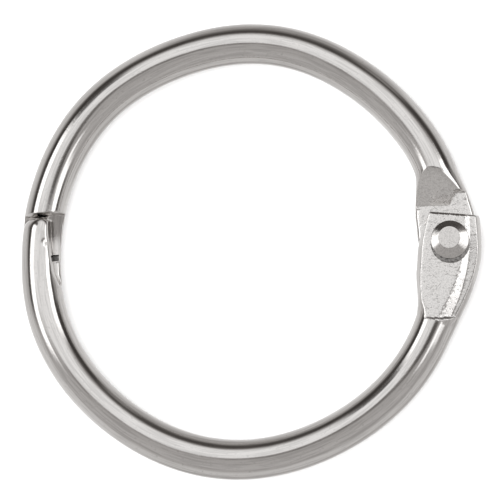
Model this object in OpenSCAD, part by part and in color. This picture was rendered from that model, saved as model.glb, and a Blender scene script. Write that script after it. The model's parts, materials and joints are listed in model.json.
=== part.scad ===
// Loose-leaf binder ring: two wire halves riveted together at one side, with a hooked lap that
// snaps shut at the other. The ring lies in the XY plane with the rivet towards +X, the closure
// towards -X and the front face up. The origin is the middle of the ring, on the hinge line.

/* [Ring] */
// Inside diameter of the closed ring, across the hinge line
inner_d = 25.4; // [20:0.1:60]
// Diameter of the wire
wire_d = 2.7; // [2.4:0.05:3.2]
// Distance of each half's arc centre from the hinge line
arc_shift = 0.21; // [0.1:0.01:0.4]

/* [Lugs] */
// Depth of the flat face below the wire's crown
flat_depth = 0.14; // [0.08:0.01:0.2]
// Gap between the mating faces of the two lugs
lug_gap = 0.1; // [0.08:0.01:0.14]
// Spread of the front lug past the wire, away from the ring's middle
front_spread_out = 1.06; // [0.7:0.01:1.2]
// Spread of the front lug past the wire, towards the ring's middle
front_spread_in = 0.62; // [0.4:0.01:0.9]
// Spread of the rear lug past the wire, away from the ring's middle
rear_spread_out = 0.72; // [0.6:0.01:1.1]
// Spread of the rear lug past the wire, towards the ring's middle
rear_spread_in = 0.7; // [0.4:0.01:0.9]
// Reach of the lug's nose past the rivet's axis
nose_len = 1.83; // [1.6:0.01:2.1]
// How far the lug's inner side draws back past its nose
nose_draw = 1.25; // [0.8:0.01:1.4]
// Length from the nose back to where that side starts to draw back
nose_draw_run = 2.8; // [2.4:0.05:3.4]
// Slant of the nose, in degrees
nose_slant = 6.3; // [0:0.1:9]
// Corner radius of the nose
nose_corner = 0.3; // [0.1:0.05:0.6]
// Distance from the rivet's axis to the step that ends the flat face
flat_len = 5.2; // [4.8:0.02:5.6]
// Distance from the rivet's axis to where the wire starts to spread outwards
forge_len = 6.3; // [5.7:0.02:6.6]
// Distance from the rivet's axis to where it starts to spread towards the ring's middle
forge_in_len = 5.3; // [4.8:0.02:5.6]
// Distance from the rivet's axis to where that inner side is fully spread
full_in_len = 1.9; // [1:0.02:2.6]
// Distance from the rivet's axis to the foot of the ramp
ramp_foot = 2.65; // [2.6:0.01:3]
// Length of the ramp up to the full wire
ramp_run = 2.28; // [1.8:0.01:2.4]
// How far the foot is set back at its outer side
scoop = 0.85; // [0.5:0.01:1]
// Distance outside the ring's inner edge where the foot starts to be set back
scoop_from = 0.8; // [0.6:0.01:1.2]
// Length over which it is set back
scoop_run = 1.2; // [0.8:0.01:1.4]
// Depth of the bulge that the mating face trims off
mating_trim = 0.15; // [0.05:0.01:0.2]

/* [Coined margin] */
// Radius of the bend line between the flat face and the margin
margin_r = 11.8; // [10:0.1:14]
// Distance from the rivet's axis to the bend line
margin_x = 1.22; // [1.1:0.01:1.4]
// Height of the bend line's centre above the rivet's axis
margin_y = 1.04; // [0.6:0.01:1.4]
// Width of the bend
bend_w = 0.36; // [0.2:0.01:0.5]
// Drop across the bend
bend_drop = 0.13; // [0.05:0.01:0.15]
// Drop of the margin from the bend to its edge
margin_drop = 0.03; // [0:0.01:0.15]

/* [Rivet] */
// Distance of the rivet's axis outside the wire's centre line
rivet_out = 0.43; // [0.3:0.01:0.5]
// Diameter of the shank
rivet_d = 1.6; // [1.3:0.05:1.8]
// Radial play of each lug's hole round the shank
hole_play = 0.05; // [0.02:0.01:0.08]
// Play under each head
head_play = 0.04; // [0.03:0.01:0.08]
// Diameter of the front head
head_d = 2.56; // [2.3:0.01:2.8]
// Height of the front head
head_h = 0.5; // [0.4:0.01:0.7]
// Height of the front head's upright rim
rim_h = 0.18; // [0.05:0.01:0.2]
// Diameter of the flat on the front head
head_flat_d = 1.46; // [1.2:0.01:1.7]
// Offset of that flat from the rivet's axis
flat_skew = 0.18; // [0:0.01:0.28]
// Diameter of the peened rear head
peen_d = 2.5; // [2.2:0.01:2.8]
// Diameter of the flat on the rear head
peen_flat_d = 1.5; // [1.2:0.01:2]
// Height of the peened rear head
peen_h = 0.34; // [0.2:0.01:0.45]

/* [Closure] */
// Reach of each tongue past the hinge line
tongue_len = 2.64; // [2.2:0.01:3.2]
// Play between a tongue's tip and the shoulder behind it
tip_play = 0.32; // [0.25:0.01:0.5]
// Fillet at the foot of each shoulder
shoulder_fillet = 0.24; // [0.1:0.01:0.24]
// Length over which each tongue's tip rounds off
tip_round = 0.85; // [0.5:0.01:1.1]
// Width of the blunt end of each tongue
tip_w = 0.95; // [0.5:0.01:1]
// Shift of that blunt end away from the ring's middle
tip_shift = 0.12; // [0:0.01:0.3]
// Drop of the crown at the blunt end
tip_drop = 0.3; // [0.1:0.01:0.4]
// Height of the hook
hook_h = 0.4; // [0.3:0.01:0.5]
// Play between the two hooks, along the wire
hook_play = 0.32; // [0.2:0.01:0.4]
// Play between the lapped faces
lap_play = 0.05; // [0.04:0.01:0.1]
// Depth that the front tongue's inner side is drawn in at its tip
tongue_draw = 0.56; // [0:0.01:0.7]
// Distance before the hinge line where that side starts to draw in
draw_from = 2.75; // [2.4:0.01:3]
// Distance before the hinge line where most of the draw is reached
draw_to = 0.75; // [0.3:0.01:1.2]

/* [Hidden] */
$fn = 96;

nickel = [0.74, 0.72, 0.69];
rivet_nickel = [0.70, 0.68, 0.65];

wire_r = wire_d / 2;
ring_r = inner_d / 2 + wire_r - arc_shift;
centre_y = -arc_shift;
pivot_x = sqrt(ring_r * ring_r - arc_shift * arc_shift) + rivet_out;
mate_z = lug_gap / 2;
face_z = wire_r - flat_depth;
seam = 0.01; // the forged ends start this much inside the wire's surface
nose_spare = 0.5; // the lug's skin runs this much past its nose, to be cut back
root_spare = 0.7; // the tongue's skin starts this much before its shoulder
disc_h = 0.001; // thickness of the discs that the front head is skinned between
far = 3 * wire_d; // reach of the cutting shapes

// Angles on a half's own arc, from its centre, of points at a given height
function arc_angle(y, r) = asin((y - centre_y) / r);
forge_a = arc_angle(-forge_len, ring_r); // where the wire starts to spread outwards
forge_in_a = arc_angle(-forge_in_len, ring_r);
full_in_a = arc_angle(-full_in_len, ring_r);
corner_a = arc_angle(-flat_len, ring_r + wire_r); // where the outer corner squares up
peak_a = arc_angle(-ramp_foot - ramp_run, ring_r);
foot_a = arc_angle(-ramp_foot, ring_r);
nose_draw_a = arc_angle(nose_len - nose_draw_run, ring_r);
nose_a = arc_angle(nose_len + nose_spare + wire_d * tan(nose_slant), ring_r);
root_a = -180 - arc_angle(-tongue_len - tip_play - root_spare, ring_r);
round_a = -180 - arc_angle(tongue_len - tip_round, ring_r);
tip_a = -180 - arc_angle(tongue_len, ring_r);
draw_from_a = -180 - arc_angle(-draw_from, ring_r);
draw_to_a = -180 - arc_angle(-draw_to, ring_r);

function ease(u) = let (v = min(max(u, 0), 1)) v * v * (3 - 2 * v);
function part_way(a, from_a, to_a) = min(max((a - from_a) / (to_a - from_a), 0), 1);
function bent(c, square) = sign(c) * pow(abs(c), 2 / square);

// One ring of points round the wire at arc angle a. Each quarter is a superellipse: its
// squareness is 2 where the wire is round and more where it is pressed square.
section_points = 40;
function section(a, r_in, r_out, z_low, z_high, squares) = [
    for (i = [0 : section_points - 1])
        let (
            t = 360 * i / section_points,
            square = squares[floor(4 * i / section_points)],
            x = ring_r + (cos(t) > 0 ? r_out : r_in) * bent(cos(t), square),
            z = (z_high + z_low + (z_high - z_low) * bent(sin(t), square)) / 2
        )
        [x * cos(a), centre_y + x * sin(a), z]
];

// Pressed section of the lug: outer corner, inner corner, then the two of the mating side
lug_squares = [3.2, 3, 4, 4];
corner_run = 1.2; // degrees over which the outer corner squares up
rise_power = 1.5; // how late on the ramp the lug thins
draw_power = 2; // how late towards the nose its inner side draws back
function lug_section(a, spread_out, spread_in) =
    let (
        rise = pow(part_way(a, peak_a, foot_a), rise_power),
        drawn = pow(part_way(a, nose_draw_a, nose_a), draw_power),
        skin_r = wire_r - seam,
        pressed = [
            ease(part_way(a, corner_a, corner_a + corner_run)),
            ease(part_way(a, corner_a, foot_a)),
            rise,
            rise
        ]
    )
    section(
        a,
        skin_r + spread_in * ease(part_way(a, forge_in_a, full_in_a)) - nose_draw * drawn,
        skin_r + spread_out * ease(part_way(a, forge_a, 0)),
        -skin_r + (wire_r + mate_z - mating_trim) * rise,
        skin_r,
        [for (i = [0 : 3]) 2 + (lug_squares[i] - 2) * pressed[i]]
    );

// Section of a tongue, drawn in on its inner side and rounded off towards its tip
early_draw = 0.72; // share of the draw that is reached early
function tongue_section(a, draw) =
    let (
        q = part_way(a, round_a, tip_a),
        round = sqrt(1 - q * q),
        skin_r = wire_r - seam,
        early = early_draw * ease(part_way(a, draw_from_a, draw_to_a)),
        late = (1 - early_draw) * part_way(a, draw_to_a, tip_a),
        r_in = skin_r - draw * (early + late),
        end_in = tip_w / 2 - tip_shift,
        end_out = tip_w / 2 + tip_shift
    )
    section(
        a,
        end_in + (r_in - end_in) * round,
        end_out + (skin_r - end_out) * round,
        -skin_r,
        skin_r - tip_drop * (1 - round),
        [2, 2, 2, 2]
    );

lug_steps = 26;
lug_crowding = 1.15; // packs the lug's rings towards its thinner start
tongue_steps = 10;
round_steps = 8;
overlap_a = 1.5; // degrees that a forged end runs on inside the wire

// Skin through a list of equal rings of points, closed at both ends
module loft(rings) {
    n = len(rings[0]);
    last = len(rings) - 1;
    skin = [
        for (j = [0 : last - 1], i = [0 : n - 1])
            [j * n + i, j * n + (i + 1) % n, (j + 1) * n + (i + 1) % n, (j + 1) * n + i]
    ];
    start = [for (i = [n - 1 : -1 : 0]) i];
    end = [for (i = [0 : n - 1]) last * n + i];
    polyhedron(points = [for (ring = rings) each ring], faces = concat(skin, [start, end]));
}

// Plain round wire between two angles of a half's arc
module wire_arc(from_a, to_a) {
    translate([0, centre_y, 0])
        rotate_extrude(angle = to_a - from_a, start = from_a)
            translate([ring_r, 0])
                circle(r = wire_r);
}

// Wire flattened and spread sideways, before its faces are cut
module spread_end(spread_out, spread_in) {
    angles = [
        forge_a - overlap_a,
        for (i = [0 : lug_steps]) forge_a + (nose_a - forge_a) * pow(i / lug_steps, lug_crowding)
    ];
    loft([for (a = angles) lug_section(a, spread_out, spread_in)]);
}

// Everything past the nose's slanted edge and its two rounded corners
corner_draw = 0.75; // share of nose_draw that is reached at the nose's inner corner
module nose_cut(spread_out, spread_in) {
    edge_in = ring_r - wire_r - spread_in + nose_draw * corner_draw + nose_corner;
    edge_out = ring_r + wire_r + spread_out - nose_corner;
    edge_drop = tan(nose_slant);
    difference() {
        translate([pivot_x - far, nose_len / 2, -far])
            cube([2 * far, far, 2 * far]);
        translate([0, 0, -far])
            linear_extrude(2 * far)
                hull() {
                    for (x = [edge_in, edge_out])
                        translate([x, nose_len - nose_corner - (x - pivot_x) * edge_drop])
                            circle(r = nose_corner, $fn = 32);
                    translate([pivot_x - far, 0])
                        square([2 * far, nose_corner]);
                }
    }
}

// Side view of the mating face, flat under the lug and then a ramp down to the full wire, and
// the scoop that sets the ramp's foot back at its outer side
scoop_steps = 8;
module mating_cut() {
    scoop_x = inner_d / 2 + scoop_from;
    scoop_edge = [
        for (i = [0 : scoop_steps])
            [scoop_x + scoop_run * i / scoop_steps, -ramp_foot - scoop * ease(i / scoop_steps)]
    ];
    translate([pivot_x - far, 0, 0])
        rotate([90, 0, 90])
            linear_extrude(2 * far)
                polygon([
                    [-ramp_foot, mate_z],
                    [far, mate_z],
                    [far, -far],
                    [-ramp_foot - ramp_run, -far],
                    [-ramp_foot - ramp_run, -wire_r]
                ]);
    translate([0, 0, mate_z - far])
        linear_extrude(far)
            polygon(concat(
                scoop_edge,
                [[pivot_x + far, -ramp_foot - scoop], [pivot_x + far, 0], [scoop_x, 0]]
            ));
}

// Top face of the lug: a flat, a bend and a margin that falls away to the outer edge
margin_from = -40; // angles on the bend line's own arc
margin_to = 20;
module face_cut() {
    bend_in = margin_r - bend_w / 2;
    bend_out = margin_r + bend_w / 2;
    edge = bend_out + front_spread_out;
    intersection() {
        translate([pivot_x - far, -flat_len, 0])
            cube([2 * far, flat_len + far, far]);
        union() {
            translate([pivot_x - far, -far, face_z])
                cube([2 * far, 2 * far, far]);
            translate([pivot_x + margin_x - margin_r, margin_y, 0])
                rotate_extrude(angle = margin_to - margin_from, start = margin_from)
                    polygon([
                        [bend_in, face_z],
                        [bend_out, face_z - bend_drop],
                        [edge, face_z - bend_drop - margin_drop],
                        [edge, far],
                        [bend_in, far]
                    ]);
        }
    }
}

module lug_end(spread_out, spread_in) {
    difference() {
        spread_end(spread_out, spread_in);
        nose_cut(spread_out, spread_in);
        mating_cut();
        face_cut();
    }
}

// Side view of the space for the other half's tongue, with the hook's step near the hinge line
module lap_cut() {
    shoulder_y = -tongue_len - tip_play;
    root_z = (hook_h + lap_play) / 2;
    tip_z = (lap_play - hook_h) / 2;
    hook_y = hook_play / 2;
    fillet = [
        for (t = [0 : 15 : 90])
            [
                shoulder_y + shoulder_fillet * (1 - cos(t)),
                root_z - shoulder_fillet * (1 - sin(t))
            ]
    ];
    translate([-ring_r - far, 0, 0])
        rotate([90, 0, 90])
            linear_extrude(2 * far)
                polygon(concat(
                    [[shoulder_y, -far]],
                    fillet,
                    [[hook_y, root_z], [hook_y, tip_z], [far, tip_z], [far, -far]]
                ));
}

module tongue_end(draw) {
    angles = [
        for (i = [0 : round_steps - 1]) round_a + (tip_a - round_a) * cos(90 * i / round_steps),
        for (i = [0 : tongue_steps]) round_a + (root_a - round_a) * i / tongue_steps,
        root_a + overlap_a
    ];
    difference() {
        loft([for (a = angles) tongue_section(a, draw)]);
        lap_cut();
    }
}

// One half: plain wire with its lug in front at the hinge and its tongue in front at the closure
module half(spread_out, spread_in, draw) {
    difference() {
        union() {
            wire_arc(root_a, forge_a);
            lug_end(spread_out, spread_in);
            tongue_end(draw);
        }
        translate([pivot_x, 0, -far])
            cylinder(r = rivet_d / 2 + hole_play, h = 2 * far);
    }
}

module lower_half() {
    color(nickel)
        half(front_spread_out, front_spread_in, tongue_draw);
}

module upper_half() {
    color(nickel)
        rotate([180, 0, 0])
            half(rear_spread_out, rear_spread_in, 0);
}

module hinge_rivet() {
    seat_z = face_z + head_play;
    color(rivet_nickel)
        translate([pivot_x, 0, 0])
            union() {
                translate([0, 0, -seat_z])
                    cylinder(d = rivet_d, h = 2 * seat_z);
                translate([0, 0, seat_z])
                    cylinder(d = head_d, h = rim_h);
                translate([0, 0, seat_z + rim_h])
                    hull() {
                        cylinder(d = head_d, h = disc_h, $fn = 64);
                        translate([0, flat_skew, head_h - rim_h - disc_h])
                            cylinder(d = head_flat_d, h = disc_h, $fn = 64);
                    }
                translate([0, 0, -seat_z - peen_h])
                    cylinder(d1 = peen_flat_d, d2 = peen_d, h = peen_h);
            }
}

lower_half();
upper_half();
hinge_rivet();
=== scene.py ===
import json

import bpy
import numpy as np
from mathutils import Matrix, Vector


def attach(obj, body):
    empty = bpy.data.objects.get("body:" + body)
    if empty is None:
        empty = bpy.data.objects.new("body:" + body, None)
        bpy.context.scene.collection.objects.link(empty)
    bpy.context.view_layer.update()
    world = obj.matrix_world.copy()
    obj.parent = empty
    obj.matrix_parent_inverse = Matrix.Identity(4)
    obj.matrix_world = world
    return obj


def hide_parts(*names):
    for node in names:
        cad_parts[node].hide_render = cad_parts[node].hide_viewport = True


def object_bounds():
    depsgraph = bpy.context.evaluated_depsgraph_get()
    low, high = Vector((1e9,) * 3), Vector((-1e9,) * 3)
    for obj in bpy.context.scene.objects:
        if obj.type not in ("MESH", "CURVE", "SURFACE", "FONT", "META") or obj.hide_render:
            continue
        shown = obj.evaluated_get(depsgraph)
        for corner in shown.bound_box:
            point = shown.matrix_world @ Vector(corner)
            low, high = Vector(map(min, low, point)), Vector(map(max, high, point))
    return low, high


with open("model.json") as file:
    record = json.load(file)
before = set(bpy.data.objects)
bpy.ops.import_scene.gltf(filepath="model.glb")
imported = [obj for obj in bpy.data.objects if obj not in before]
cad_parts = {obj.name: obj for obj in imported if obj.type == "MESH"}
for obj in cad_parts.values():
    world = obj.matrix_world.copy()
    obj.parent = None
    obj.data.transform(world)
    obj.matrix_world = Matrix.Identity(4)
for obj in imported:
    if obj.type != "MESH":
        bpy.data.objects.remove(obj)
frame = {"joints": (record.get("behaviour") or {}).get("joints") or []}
cad_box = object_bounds()

# The looks of the binder ring. Each half is one skin, found by casting rays at an implicit form,
# so that its pressed edges are truly rounded. Both halves are worked out in the front half's
# place, and the rear one is then turned over about the line from hinge to closure.
# Sizes are in mm and angles in degrees, but for what goes straight into Blender.
MM = 0.001

# ---------------------------------------------------------------- sizes shared with the CAD part
INNER_D = 25.4  # inside diameter, across the hinge line
WIRE_R = 1.35
ARC_SHIFT = 0.21  # distance of each half's arc centre from the hinge line
RING_R = INNER_D / 2 + WIRE_R - ARC_SHIFT
CENTRE_Y = -ARC_SHIFT
PIVOT_X = frame["joints"][0]["pos_m"][0] / MM  # the rivet's axis

# the lug, with lengths measured from the rivet's axis
FLAT_DEPTH = 0.14  # depth of the flat face below the wire's crown
LUG_GAP = 0.1
FACE_Z = WIRE_R - FLAT_DEPTH
MATE_Z = LUG_GAP / 2
NOSE_LEN = 1.83
NOSE_SLANT = 6.3
NOSE_SPARE = 0.5  # the lug's skin runs this much past its nose, to be cut back
NOSE_DRAW = 1.25  # how far the inner side draws back past the nose
NOSE_DRAW_RUN = 2.8  # from the nose back to where that starts
FLAT_LEN = 5.2  # to the step that ends the flat face
FORGE_LEN = 6.3  # to where the wire starts to spread outwards
FORGE_IN_LEN = 5.3  # to where it starts to spread inwards
FULL_IN_LEN = 1.9  # to where the inner side is fully spread
RAMP_FOOT = 2.65
RAMP_RUN = 2.28
MATING_TRIM = 0.15  # depth of the bulge that the mating face trims off
MARGIN_R = 11.8  # radius of the bend line between the flat face and its margin
MARGIN_X = 1.22  # distance from the rivet's axis to that line
MARGIN_Y = 1.04  # height of that line's centre

# the closure
TONGUE_LEN = 2.64  # reach past the hinge line
TIP_PLAY = 0.32  # between a tongue's tip and the shoulder behind it
ROOT_SPARE = 0.7  # the tongue's form starts this much before its shoulder
TIP_ROUND = 0.85  # length over which the tip rounds off
TIP_W = 0.95
TIP_SHIFT = 0.12  # shift of the blunt end away from the ring's middle
TIP_DROP = 0.3  # drop of the crown at the blunt end
HOOK_H = 0.4
HOOK_PLAY = 0.32
LAP_PLAY = 0.05
DRAW_FROM = 2.75  # where the front tongue's inner side starts to draw in, before the hinge line
DRAW_TO = 0.75  # and where its quick part ends

# the rivet
HOLE_R = 0.85
SHANK_R = 0.8
HEAD_PLAY = 0.04
HEAD_H = 0.5
PEEN_R = 1.25
PEEN_H = 0.34
PEEN_FLAT_R = 0.75

# ---------------------------------------------------------------- forms finer than the CAD part's
FINE_R = 0.03  # rounding between bevels
EDGE_R = 0.05  # edges of the pressed face
MATE_R = 0.10  # edges of the mating face and the lap
NOSE_R = 0.15  # edges of the nose
NOSE_EDGE_R = 0.02  # rounding of the nose's worn edge
TIP_R = 0.14  # edge of each tongue's blunt end
FOOT_R = 0.06  # hollow at the foot of the ramp

# exponents of the section's superellipse, which is round at 2
ROUND = 2
LUG_SQUARE = 5  # what the lug's top adds
UNDER_SQUARE = 2  # what its mating side adds
RAMP_BEND = 1.5  # how late the section rises along the ramp

# the lug's sides
INNER_EDGE = (0.79, 0.0, 1.21)  # place of the face's inner edge: share of reach, inset and height
OUTER_EDGE = (1.0, 0.19, 0.87)  # the same for its outer edge
OUTER_RISE = 0.11  # how much the outer edge rises towards the rivet
BEVEL_Z = 0.5  # height at which the slanted sides come to the full reach
BEVEL_R = 0.12
CHAMFER_IN = 22  # tilt of the worn inner edge
CHAMFER_OUT = 30  # tilt of the worn outer edge
CHAMFER_W = 0.06
CHAMFER_FADE = (-0.5, 3)  # the sides' bevels come in between these angles past the step
HELD_OFF = 0.3  # how far off the form a bevel is held where it hasn't come in

# the band that the bend leaves, and the margin outside it
BEND_W = 0.34
BEND_TOP = 0.5  # the band widens from this height down
BEND_RUN = 6
BEND_GROWTH = 0.065  # by this much in each mm
BEND_SHIFT = -0.07
BEND_SLOPE = 0.6
BEND_EASING = 0.02  # how much less it slopes after each mm
BEND_SOFT = 0.05
BEND_JAG = 0.06  # raggedness of the bend line
BEND_PITCH = 3.5  # how quickly its waves follow each other
BEND_NEAR = 0.1  # how far off the line it still shows
OUTER_JAG = 0.2 * BEND_JAG
OUTER_PITCH = 2
OUTER_NEAR = 0.15
MARGIN_DROP = 0.01  # slope of the margin

# the step that ends the face
STEP_R = 0.05
STEP_TILT = 38
STEP_LEAN = 30  # further tilt for each mm that the face has dropped
STEP_SHIFT = 0.17
STEP_JAG = 0.07
STEP_PITCH = 2.3

# the nose
NOSE_LONGER = 0.11  # how much further it was squeezed out than the CAD part's
NOSE_DRAFT = 0.065  # how far its end leans, for each mm of height
NOSE_WORN = 0.16  # width of its worn edge
NOSE_TILT = 34  # tilt of that edge
WORN_JAG = 0.3  # how unevenly it is worn
WORN_PITCH = 2

# the scoop at the ramp's foot
SCOOP = 0.85  # how far the foot is set back at its outer side
SCOOP_FROM = 13.95
SCOOP_TO = 14.6
SCOOP_STEEP = 7
SCOOP_R = 0.06

# the front tongue's drawn-in side
QUICK_DRAW = 0.45  # share of the draw that comes quickly
WALL_R = 0.12
WALL_OFF = 0.5  # how far off the form the wall is held where the draw hasn't begun
WALL_ONSET = 8  # how quickly it comes in
WALL_BEVEL = 0.17
WALL_TILT = 39
BEVEL_ONSET = 4
NICKS = [((-13.36, 0.87, 1.27), 0.2, 0.05)]  # place, radius and depth

# the lap, its hook and its shoulder
HOOK_R = 0.12
HOOK_WEAR = 0.22  # how much more the hook's edges are worn
HOOK_WORN = (1.6, 1.0)  # the wear fades out between these heights
HOOK_WORN_RUN = 0.2
LAP_RISE = 0.12  # slope of the lap's ends
LAP_FLAT = 1.3  # distance from the hinge line to where it starts to slope
LAP_SOFT = 0.9
SHOULDER_R = 0.2  # hollow at its foot
SHOULDER_EDGE = -0.05  # how much sharper its top edge is than the lap's
SHOULDER_NEAR = (0.7, 0.3)  # distances between which that edge sharpens
SHOULDER_SLANT = 0.054
SHOULDER_SHIFT = 0.07  # how far it stands back
SHOULDER_SHARP = 0.8  # share of hollow and shift that is lost towards the ring's middle
SHARP_FROM = -13.5
SHARP_TO = -13.1

# the pocket before the rear hook, by axis, in the front half's place
POCKET = ((-13.7, -12.64), (-0.25, 0.2), (-1.0, 0.56))
# painted shade on the pocket's walls: it darkens them in place of the shade in the recess
POCKET_PAINTED_SHADE = 0.8

# uneven bending of the wire
PINCH = 0.05  # how far both halves are bent in at the closure
PINCH_A = -178
PINCH_W = 10
BULGE_A = -24
BULGE_W = 8
SWAY_FROM = -14
SWAY_FULL = -22

# the rivet's front head
HEAD_R = 1.285
RIM_H = 0.2
HEAD_FLAT_R = 0.735
SKIRT_R = 1.33  # the metal squeezed out under the head
SKIRT_H = 0.07
NECK_RISE = 0.02  # from the skirt to the rim's foot
NECK_IN = 0.02  # how far the rim's foot is set in
SKIRT_SHIFT = (-0.02, -0.11)  # how far each part lies off the rivet's axis
RIM_SHIFT = (-0.03, 0.12)
FLAT_SHIFT = (-0.04, 0.22)
RIM_TILT = 0.07  # how much higher the rim is on the side towards the ring's middle
RIM_TILT_SPREAD = 0.3  # how far round the rim that rise reaches
# painted shade under the head: a darker ring on the skirt, standing in for the shade in the gap between
# head and lug
PAINTED_SHADE_SIDE = 215  # angle round the head where the painted shade in the gap under it is darkest
PAINTED_SHADE_MEAN = 0.8
PAINTED_SHADE_SWING = 0.2


def arc_angle(y, r):
    """Angle on the front half's own arc of a point at height y and distance r from its centre."""
    return np.degrees(np.arcsin((y - CENTRE_Y) / r))


FORGE_A = arc_angle(-FORGE_LEN, RING_R)
FORGE_IN_A = arc_angle(-FORGE_IN_LEN, RING_R)
FULL_IN_A = arc_angle(-FULL_IN_LEN, RING_R)
STEP_A = arc_angle(-FLAT_LEN, RING_R)
PEAK_A = arc_angle(-RAMP_FOOT - RAMP_RUN, RING_R)
FOOT_A = arc_angle(-RAMP_FOOT, RING_R)
DRAW_A = arc_angle(NOSE_LEN - NOSE_DRAW_RUN, RING_R)
NOSE_A = arc_angle(NOSE_LEN + NOSE_SPARE + 2 * WIRE_R * np.tan(np.radians(NOSE_SLANT)), RING_R)
SHOULDER_Y = -TONGUE_LEN - TIP_PLAY
SHOULDER_A = -180 - arc_angle(SHOULDER_Y, RING_R)
ROOT_A = -180 - arc_angle(SHOULDER_Y - ROOT_SPARE, RING_R)
ROUND_A = -180 - arc_angle(TONGUE_LEN - TIP_ROUND, RING_R)
TIP_A = -180 - arc_angle(TONGUE_LEN, RING_R)
HOOK_A = -180 - arc_angle(HOOK_PLAY / 2, RING_R)
DRAW_FROM_A = -180 - arc_angle(-DRAW_FROM, RING_R)
DRAW_TO_A = -180 - arc_angle(-DRAW_TO, RING_R)
PART_SPARE = 2  # how far past its end, along the arc, a lug's or a tongue's own form is used


class Half:
    """What differs between the two halves, which come from one die."""

    def __init__(self, name, turn, seed, spread_out, spread_in, draw, trim, sway):
        self.name = name
        self.turn = turn  # radians about the line from hinge to closure
        self.seed = seed  # of its ragged lines
        self.spread_out = spread_out
        self.spread_in = spread_in
        self.draw = draw  # how far the tongue's inner side is drawn in
        self.trim = trim  # how much more is trimmed off that side
        self.sway_h, self.sway_run, self.sway_a, self.bulge = sway


FRONT = Half("lower_half", 0, 1, 1.06, 0.62, 0.2, 0.77, (0.06, 64, -97, 0.03))
REAR = Half("upper_half", np.pi, 4, 0.72, 0.70, 0.0, 0.0, (0.07, 56, -80, 0.08))


# ---------------------------------------------------------------- the form of a half
def ease(u):
    v = np.clip(u, 0, 1)
    return v * v * (3 - 2 * v)


def part_way(a, start, end):
    return np.clip((a - start) / (end - start), 0, 1)


def round_max(a, b, r):
    """Where two solids meet, with their outer edge rounded to radius r."""
    return np.minimum(-r, np.maximum(a, b)) + np.hypot(np.maximum(a + r, 0), np.maximum(b + r, 0))


def round_min(a, b, r):
    """Two solids joined, with the hollow between them rounded to radius r."""
    return -round_max(-a, -b, r)


def soft_ramp(u, r):
    """The greater of u and 0, rounded where it turns."""
    return (u + np.hypot(u, r)) / 2


def ragged(u, seed):
    """A smooth line of uneven waves, between about -1 and 1."""
    waves = [(2.1, 0.3), (4.7, 0.25), (9.3, 0.22), (17.9, 0.16), (31, 0.1)]
    return sum(s * np.sin(w * u + seed * (i + 1.7)) for i, (w, s) in enumerate(waves))


def wavy(u, seed):
    """The same with long waves only."""
    waves = [(1.6, 1.0, 0.5), (3.7, 2.3, 0.3), (7.1, 3.1, 0.2)]
    return sum(s * np.sin(w * u + shift * seed) for w, shift, s in waves)


def polar(x, y):
    """Angle on the front half's arc, from 90 down to -270, and distance from its centre."""
    a = np.degrees(np.arctan2(y - CENTRE_Y, x))
    return np.where(a > 90, a - 360, a), np.hypot(x, y - CENTRE_Y)


def drawn_share(a):
    """How far the front tongue's inner side is drawn in: quickly at first, then slowly."""
    first = QUICK_DRAW * ease(part_way(a, DRAW_FROM_A, DRAW_TO_A))
    return first + (1 - QUICK_DRAW) * part_way(a, DRAW_TO_A, TIP_A)


def section_sizes(a, half):
    """Reach inwards and outwards, lowest and highest level, and squareness by quarter."""
    spread_out = ease(part_way(a, FORGE_A, 0))
    spread_in = ease(part_way(a, FORGE_IN_A, FULL_IN_A))
    rise = part_way(a, PEAK_A, FOOT_A) ** RAMP_BEND
    drawn = part_way(a, DRAW_A, NOSE_A) ** 2
    q = part_way(a, ROUND_A, TIP_A)
    full = np.sqrt(1 - q * q)
    end_in, end_out = TIP_W / 2 - TIP_SHIFT, TIP_W / 2 + TIP_SHIFT
    r_in = WIRE_R + half.spread_in * spread_in - NOSE_DRAW * drawn - half.draw * drawn_share(a)
    r_out = WIRE_R + half.spread_out * spread_out
    low = -WIRE_R + (WIRE_R + MATE_Z - MATING_TRIM) * rise
    high = WIRE_R - TIP_DROP * (1 - full)
    squares = (
        ROUND + LUG_SQUARE * ease(part_way(a, STEP_A + CHAMFER_FADE[0], FOOT_A)),
        ROUND + LUG_SQUARE * spread_in,
        ROUND + UNDER_SQUARE * rise,
    )
    return end_in + (r_in - end_in) * full, end_out + (r_out - end_out) * full, low, high, squares


def crown_shift(a, half):
    """How far the lug's crown lies outside the wire's centre line."""
    spread_out = half.spread_out * ease(part_way(a, FORGE_A, 0))
    return (spread_out - half.spread_in * ease(part_way(a, FORGE_IN_A, FULL_IN_A))) / 2


def slanted(x, z, edge_x, edge_z, tilt):
    """Outside a plane through the edge, which falls away by tilt."""
    t = np.radians(tilt)
    return (x - edge_x) * np.sin(t) + (z - edge_z) * np.cos(t)


def side_bevel(rho, z, a, half, f):
    """Slants the lug's sides from the edges of its face, which are a little worn."""
    r_in, r_out, *_ = section_sizes(a, half)
    outer = rho > 0
    reach = np.where(outer, r_out, r_in)
    share, inset, edge_z = (np.where(outer, q, p) for p, q in zip(INNER_EDGE, OUTER_EDGE))
    edge_x = reach * share - inset
    edge_z = edge_z + np.where(outer, OUTER_RISE * ease(part_way(a, FORGE_A, 0)), 0)
    tilt = np.degrees(np.arctan2(edge_z - BEVEL_Z, reach - edge_x))
    chamfer = np.where(outer, CHAMFER_OUT, CHAMFER_IN)
    start, end = (STEP_A + past for past in CHAMFER_FADE)
    off = HELD_OFF * (1 - ease(part_way(a, start, end)))
    f = round_max(f, slanted(np.abs(rho), z, edge_x, edge_z, tilt) - off, BEVEL_R)
    return round_max(f, slanted(np.abs(rho), z, edge_x - CHAMFER_W, edge_z, chamfer) - off, FINE_R)


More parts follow.
